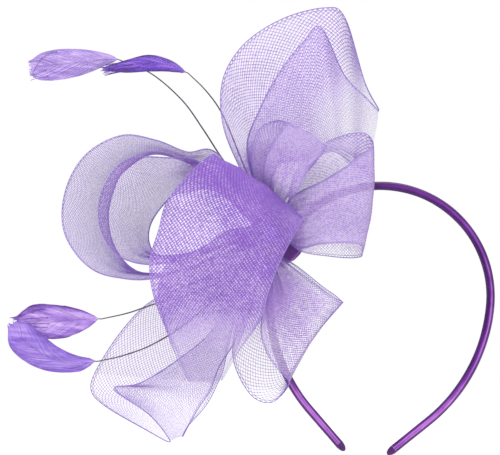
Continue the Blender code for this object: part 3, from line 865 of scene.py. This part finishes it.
# How far the barbs of each feather's tip fray, and how dark its edges are dyed.
FRAY = {"upper_light": 0.45, "upper_dark": 1.3, "lower_straight": 1.5, "lower_curved": 0.5}
RIM = {"upper_light": 0.2, "upper_dark": 0.6, "lower_straight": 0.5, "lower_curved": 0.3}
# The loose barbs at each tip: how many, how far past it they reach, and between which heights.
WISPS = {
    "upper_light": (4, 3.0, -6.5, -4.0),
    "upper_dark": (14, 2.0, -5.0, 3.0),
    "lower_straight": (16, 3.5, -2.5, 4.0),
}
WISP_SHADE = 0.32  # how much darker than the vane they are dyed
WISP_LIFT = 0.3  # how far before the vane they lie


def build_shaft(name, root, route, vane_line):
    """The bare quill and, thinner, the shaft it becomes inside the vane."""
    bare = curve([root] + list(route), 60)
    inside = vane_line[1:-6]
    behind = -FACING * np.linspace(0.3, 1.0, len(inside))[:, None]
    path = np.vstack([bare, inside + behind])
    taper = np.interp(arc_length(path) / arc_length(path)[-1], [0, 0.6, 1], [0.52, 0.36, 0.12])
    points, faces = tubes(path[None], FACING, taper[None], taper[None], 10)
    shaft = add_mesh(f"{name}_shaft", points, faces, LOOKS["horn"], "quill")
    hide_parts(f"{name}_quill")


def barb_paths(spine, edge, draw, fray):
    """Barbs that leave the shaft at a narrow angle and run forwards along the vane's edge.

    Also gives how far across the vane each of their points lies, from 0 at the shaft to 1.
    """
    count = len(spine) - 1
    start = np.linspace(-0.3, 0.96, BARBS)
    lock = np.cumsum(draw.random(BARBS) < 0.22)
    jitter = draw.uniform(-1, 1, lock[-1] + 1)[lock] * 0.75 + draw.uniform(-0.25, 0.25, BARBS)
    span = 0.5 + 0.04 * jitter
    beyond = 0.01 + 0.055 * fray * jitter
    first = np.maximum(-start, 0) / span
    last = np.minimum(1, (1 + beyond - start) / span)
    t = first[:, None] + (last - first)[:, None] * np.linspace(0, 1, BARB_STEPS)[None, :]
    along = start[:, None] + span[:, None] * t
    across = (1 - (1 - t) ** 1.8) * (1 + 0.02 * jitter * fray)[:, None]
    inside = (np.clip(along, 0, 1) * count).ravel()
    inner = sample_line(spine, inside).reshape(BARBS, BARB_STEPS, 3)
    outer = sample_line(edge, inside).reshape(BARBS, BARB_STEPS, 3)
    ahead = unit(spine[-1] - spine[-8]) * arc_length(spine)[-1]
    aside = across * np.clip(0.15 + 14 * along, 0, 1)
    paths = inner + (outer - inner) * aside[..., None] + ahead * np.maximum(along - 1, 0)[..., None]
    paths[..., 1] += draw.uniform(-0.25, 0.25, (BARBS, 1)) + 0.8 * across**2
    return paths, across


def wisp_paths(name, spine, upper, lower, draw):
    """Loose barbs that trail past the tip of a vane."""
    count, reach, low, high = WISPS[name]
    ahead = unit(spine[-1] - spine[-8])
    aside = np.cross(ahead, FACING)
    leave = draw.uniform(0.6, 0.9, count) * (len(spine) - 1)
    side = draw.uniform(0.05, 0.95, (count, 1))
    start = sample_line(upper, leave) * side + sample_line(lower, leave) * (1 - side)
    spread = low + (high - low) * side + draw.uniform(-0.7, 0.7, (count, 1))
    end = spine[-1] + ahead * draw.uniform(-1.5, reach, (count, 1)) + aside * spread
    run = unit(sample_line(spine, leave + 4) - sample_line(spine, leave))
    bend = start + run * 0.5 * np.linalg.norm(end - start, axis=1, keepdims=True)
    t = np.linspace(0, 1, BARB_STEPS)[None, :, None]
    paths = start[:, None] * (1 - t) ** 2 + bend[:, None] * 2 * t * (1 - t) + end[:, None] * t**2
    paths[..., 1] -= WISP_LIFT
    return paths


def barb_tubes(paths, taper):
    return tubes(paths, FACING, BARB_HALF_WIDTH * taper[None, :], BARB_HALF_THICK, BARB_SIDES)


def sample_line(line, at):
    """Points of a line at fractional places."""
    at = np.clip(at, 0, len(line) - 1.0001)
    i = at.astype(int)
    f = (at - i)[:, None]
    return line[i] * (1 - f) + line[i + 1] * f


def build_feathers():
    for seed, (name, ((angle, height), route, stations)) in enumerate(FEATHERS.items(), 31):
        draw = np.random.default_rng(seed)
        upper = curve([s[0] for s in stations], VANE_STEPS)
        lower = curve([s[1] for s in stations], VANE_STEPS)
        spine = (upper + lower) / 2
        root = post_point(angle, POST_RADIUS + QUILL_STANDOFF, height)
        build_shaft(name, root, route, spine)
        parts, rims = [], []
        taper = np.interp(np.linspace(0, 1, BARB_STEPS), [0, 0.2, 0.8, 1], [0.7, 1, 0.8, 0.2])
        for edge, dyed in ((upper, 1.0), (lower, 0.6)):
            paths, across = barb_paths(spine, edge, draw, FRAY[name])
            parts.append(barb_tubes(paths, taper))
            rims.append(np.repeat(dyed * across.ravel() ** 4, BARB_SIDES) * RIM[name])
        if name in WISPS:
            wisps = wisp_paths(name, spine, upper, lower, draw)
            parts.append(barb_tubes(wisps, np.linspace(0.9, 0.45, BARB_STEPS)))
            rims.append(np.full(len(wisps) * BARB_STEPS * BARB_SIDES, WISP_SHADE))
        vane = add_mesh(f"{name}_barbs", *joined(parts), LOOKS[name], FEATHER_SLOTS[name])
        set_attribute(vane, "rim", np.concatenate(rims))
        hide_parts(f"{name}_vane")


# ---------------------------------------------------------------- headband


def band_line(side, along):
    """Centre and outward normal of the band at lengths past the crown's end; below 0 is the crown."""
    along = np.asarray(along, float)[:, None]
    level = -CROWN_RADIUS + BAND_THICK / 2
    turn = math.pi / 2 + along / CROWN_RADIUS
    out_crown = np.hstack([side * np.sin(turn), 0 * turn, np.cos(turn)])
    crown = np.array([0, 0, level]) + out_crown * CROWN_RADIUS
    arc = LEG_RADIUS * math.radians(LEG_ARC)
    turn = np.minimum(along, arc) / LEG_RADIUS
    out_leg = np.hstack([side * np.cos(turn), 0 * turn, -np.sin(turn)])
    run = np.hstack([-side * np.sin(turn), 0 * turn, -np.cos(turn)])
    leg = np.array([-side * (LEG_RADIUS - CROWN_RADIUS), 0, level]) + out_leg * LEG_RADIUS
    leg = leg + run * np.maximum(0, along - arc)
    on_crown = along <= 0
    return np.where(on_crown, crown, leg), np.where(on_crown, out_crown, out_leg)


PAINTED_GLEAM_OFFSET = 0.14  # keeps the satin painted dark, as painted shade, between its painted highlights


def painted_satin_gleam(along, count=30):
    """How much painted highlight lies on the satin: along either side, and on the legs nearer the head
    too.
    """
    turns = np.linspace(-40, 220, count)[None, :]
    sides = np.exp(-(((turns - 172) / 19) ** 2)) + np.exp(-(((turns - 8) / 19) ** 2))
    inner = np.exp(-(((turns - 209) / 17) ** 2)) + np.exp(-(((turns + 29) / 17) ** 2))
    strength = np.interp(along, [-95, -60, -25, 0, 60, 120], [0.14, 0.26, 0.4, 0.46, 0.46, 0.44])
    lower = np.interp(along, [5, 45, 80, 120], [0.0, 0.3, 0.46, 0.5])
    painted_gleam = strength[:, None] * sides + lower[:, None] * inner
    return np.hstack([painted_gleam, np.zeros((len(along), 5))])


def satin_section(count=30):
    """The wrapped band's section: round outside, and inside a flat face where the satin's edge laps."""
    turns = np.radians(np.linspace(-40, 220, count))
    outside = np.stack([BAND_THICK / 2 * np.sin(turns), BAND_WIDE / 2 * np.cos(turns)], -1)
    face, half = -BAND_THICK / 2, FLAT_FACET / 2
    lap = [(face, -half), (face, -0.3), (face - 0.22, -0.05), (face - 0.24, 0.7), (face, half)]
    return np.vstack([outside, np.array(lap)])


LEG_LENGTH = LEG_RADIUS * math.radians(LEG_ARC) + LEG_STRAIGHT
SATIN_STEP = 0.9
SATIN_SPLIT = 14.0  # how far left of the apex the two lengths of satin meet


def build_satin(side, word, start, nodes):
    """One length of satin cover, from the split at the crown down one leg."""
    draw = np.random.default_rng(50 + side)
    tucked = LEG_LENGTH + 0.2  # the satin's end, under the tip
    along = np.append(np.arange(start, tucked, SATIN_STEP), tucked)
    centres, outs = band_line(side, along)
    section = satin_section()
    size = len(section)
    wander = np.cumsum(draw.normal(0, 0.02, len(along)))
    wander -= np.linspace(wander[0], wander[-1], len(along))
    swell = 1 + 0.012 * np.sin(along / 5.3) + 0.03 * np.clip(wander, -0.5, 0.5)
    rings = sweep(centres, outs, section[None] * swell[:, None, None])
    around = arc_length(section)
    uvs = np.stack(np.meshgrid(along, around, indexing="ij"), -1).reshape(-1, 2) * MM
    faces = ring_faces(1, len(along), size)
    name = f"{word}_satin_cover"
    piece = add_mesh(name, rings.reshape(-1, 3), faces, LOOKS["satin"], "band_satin", body=None, uvs=uvs)
    turn_outwards(piece)
    # painted highlight streaks along the band's sides, with painted shade between them
    set_attribute(piece, "painted_gleam", painted_satin_gleam(along) - PAINTED_GLEAM_OFFSET)
    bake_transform(piece)
    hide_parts(*nodes)


def build_tip(side, word):
    """The rounded end of a leg, where the satin is drawn in and glued."""
    turns = np.radians(np.linspace(-6, 86, 22))
    shares = np.sin(np.maximum(turns, 0))
    centres, outs = band_line(side, LEG_LENGTH + TIP_GAP + TIP_CAP * shares + 0.1 * np.minimum(turns, 0))
    section = satin_section()
    size = len(section)
    around = np.linspace(0, math.tau, size, endpoint=False)
    pleats = 1 + 0.025 * np.sin(9 * around)[None, :] * np.clip(shares, 0, 1)[:, None]
    scale = np.cos(np.maximum(turns, 0))[:, None] * pleats
    rings = sweep(centres, outs, section[None] * scale[..., None])
    uvs = np.stack(np.meshgrid(TIP_CAP * shares, around * 2.6, indexing="ij"), -1).reshape(-1, 2) * MM
    faces = ring_faces(1, len(turns), size)
    name = f"{word}_tip"
    points, body = rings.reshape(-1, 3), f"{word}_leg"
    tip = add_mesh(name, points, faces, LOOKS["tip"], "band_tip", body=body, uvs=uvs)
    turn_outwards(tip)
    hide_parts(f"{word}_tip_cap")


def build_band():
    quarter = CROWN_RADIUS * math.pi / 2
    build_satin(-1, "left", -quarter + SATIN_SPLIT, ["left_leg_cover"])
    build_satin(1, "right", -quarter - SATIN_SPLIT, ["right_leg_cover", "crown_cover"])
    build_tip(-1, "left")
    build_tip(1, "right")


# ---------------------------------------------------------------- base

PLY_RADIUS = 0.19
PLY_OFFSET = 0.17  # of each ply from the middle of its thread
THREAD_TWIST = 3.2  # radians per mm
THREAD_SUNK = 0.2


def felt_disc(name, radius, low, high, node_name, seed):
    """A cut felt disc with soft, slightly uneven edges."""
    draw = np.random.default_rng(seed)
    sides, soft = 96, min(0.7, (high - low) / 2.2)
    corner = np.radians(np.linspace(0, 90, 6))
    profile = [(r, low) for r in np.linspace(0.5, radius - soft - 0.5, 9)]
    profile += [(radius - soft + soft * math.sin(c), low + soft - soft * math.cos(c)) for c in corner]
    profile += [(radius - soft + soft * math.cos(c), high - soft + soft * math.sin(c)) for c in corner]
    profile += [(r, high) for r in np.linspace(radius - soft - 0.5, 0.5, 9)]
    turns = np.arange(sides) * math.tau / sides
    wobble = 0.12 * np.sin(5 * turns + 1) + 0.08 * np.sin(11 * turns)
    rings = []
    for r, h in profile:
        fuzz = draw.uniform(-0.05, 0.05, sides)
        reach = r + (wobble + fuzz) * (r / radius)
        aside = around_post(turns) * reach[:, None]
        rings.append(BASE + aside + NORMAL * (h + 0.5 * fuzz)[:, None])
    points, faces = np.array(rings).reshape(-1, 3), ring_faces(1, len(rings), sides)
    disc = add_mesh(name, points, faces, LOOKS["felt"], "base_felt")
    turn_outwards(disc)
    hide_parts(node_name)


def build_stitches():
    """Two-ply threads that tie the disc to the patch beside the band, their ends sunk in the felt."""
    low, high = -PATCH_TO_BASE + PATCH_THICK - THREAD_SUNK, -BASE_THICK / 2 + THREAD_SUNK
    rise = np.linspace(low, high, 40)
    for number, angle in enumerate(STITCH_ANGLES, 1):
        parts = []
        for ply in (0, math.pi):
            turn = rise * THREAD_TWIST + ply
            centre = np.array([post_point(angle, STITCH_RING, h) for h in rise])
            path = centre + PLY_OFFSET * around_post(turn)
            parts.append(tubes(path[None], POST_UP, PLY_RADIUS, PLY_RADIUS, 7))
        stitch = add_mesh(f"stitch_thread_{number}", *joined(parts), LOOKS["thread"], "thread")
        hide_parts(f"base_stitch_{number}")


def build_base():
    half, under = BASE_THICK / 2, -PATCH_TO_BASE
    felt_disc("base_felt_disc", BASE_RADIUS, -half, half, "base_disc", 61)
    felt_disc("backing_felt", PATCH_RADIUS, under, under + PATCH_THICK, "backing_patch", 62)
    build_stitches()
    for name in ("crown_strip", "left_leg_strip", "right_leg_strip"):
        frame["nodes"][name].data.materials.clear()
        frame["nodes"][name].data.materials.append(LOOKS["steel"])


# ---------------------------------------------------------------- camera, light and floor

MIDDLE = (CAD_BOX[0] + CAD_BOX[1]) / 2
LENS = 180.0
SENSOR = 36.0
VIEW_WIDTH = 270.0  # of the object, across the picture
VIEW_OFFSET = (-4.4, 0.0, -2.3)  # from the middle of the CAD model's box
CAMERA_ROLL = 5.2  # degrees that the band leans clockwise in the picture
LAMP_SIZE = 0.9  # metres
AMBIENT = 0.84  # strength of the white that falls on things
FLOOR_DROP = 12.0  # below the object at rest, which leaves room for a leg that flexes


def put(thing):
    bpy.context.scene.collection.objects.link(thing)


def add_camera():
    roll = math.radians(CAMERA_ROLL)
    right = Vector((math.cos(roll), 0, math.sin(roll)))
    up = Vector((-math.sin(roll), 0, math.cos(roll)))
    back = right.cross(up)
    data = bpy.data.cameras.new("camera")
    data.lens, data.sensor_width = LENS, SENSOR
    camera = bpy.data.objects.new("camera", data)
    aim = MIDDLE + Vector(VIEW_OFFSET) * MM
    place = aim + back * (VIEW_WIDTH * LENS / SENSOR * MM)
    camera.matrix_world = Matrix.Translation(place) @ Matrix((right, up, back)).transposed().to_4x4()
    put(camera)
    bpy.context.scene.camera = camera


def add_light(name, place, power):
    """A round soft lamp, placed in metres from the object's middle, that faces it."""
    data = bpy.data.lights.new(name, "AREA")
    data.shape, data.size, data.energy = "DISK", LAMP_SIZE, power
    lamp = bpy.data.objects.new(name, data)
    lamp.location = MIDDLE + Vector(place)
    lamp.rotation_euler = (MIDDLE - lamp.location).to_track_quat("-Z", "Y").to_euler()
    put(lamp)


def add_world():
    """White behind everything; a softer white as the light that falls on things."""
    world = bpy.data.worlds.new("studio")
    world.use_nodes = True
    tree = world.node_tree
    seen = tree.nodes["Background"]
    seen.inputs["Color"].default_value = (1, 1, 1, 1)
    cast = node(tree, "ShaderNodeBackground", {"Color": (1, 1, 1, 1), "Strength": AMBIENT})
    ray = node(tree, "ShaderNodeLightPath")
    mix = node(tree, "ShaderNodeMixShader", {0: ray.outputs["Is Camera Ray"]})
    tree.links.new(cast.outputs[0], mix.inputs[1])
    tree.links.new(seen.outputs[0], mix.inputs[2])
    tree.links.new(mix.outputs[0], tree.nodes["World Output"].inputs["Surface"])
    bpy.context.scene.world = world


FLOOR_RADIUS = 0.75  # metres
FLOOR_SIDES = 96


def add_floor():
    look, tree, shader = plain_look("pale_floor", 0.9, Specular_IOR_Level=0.1)
    paper = noise(tree, object_place(tree), 30.0)
    shades = ramp(tree, paper, [(0, (0.93, 0.93, 0.93)), (1, (0.96, 0.96, 0.96))])
    tree.links.new(shades, shader.inputs["Base Color"])
    level = CAD_BOX[0].z - FLOOR_DROP * MM
    ring = []
    for k in range(FLOOR_SIDES):
        turn = math.tau * k / FLOOR_SIDES
        aside = Vector((math.cos(turn), math.sin(turn))) * FLOOR_RADIUS
        ring.append((MIDDLE.x + aside.x, MIDDLE.y + aside.y, level))
    mesh = bpy.data.meshes.new("floor")
    mesh.from_pydata(ring, [], [list(range(FLOOR_SIDES))])
    mesh.materials.append(look)
    floor = bpy.data.objects.new("floor", mesh)
    put(floor)


def set_stage():
    add_camera()
    add_world()
    add_floor()
    add_light("key", (-0.5, -1.3, 0.9), 11.0)
    add_light("fill", (0.9, -1.1, 0.2), 5.0)
    add_light("top", (0.1, 0.5, 1.3), 7.0)
    bpy.context.scene.view_settings.view_transform = "Standard"
    bpy.context.scene.cycles.transparent_max_bounces = 32


set_stage()
build_heart()
build_loops()
build_feathers()
build_band()
build_base()
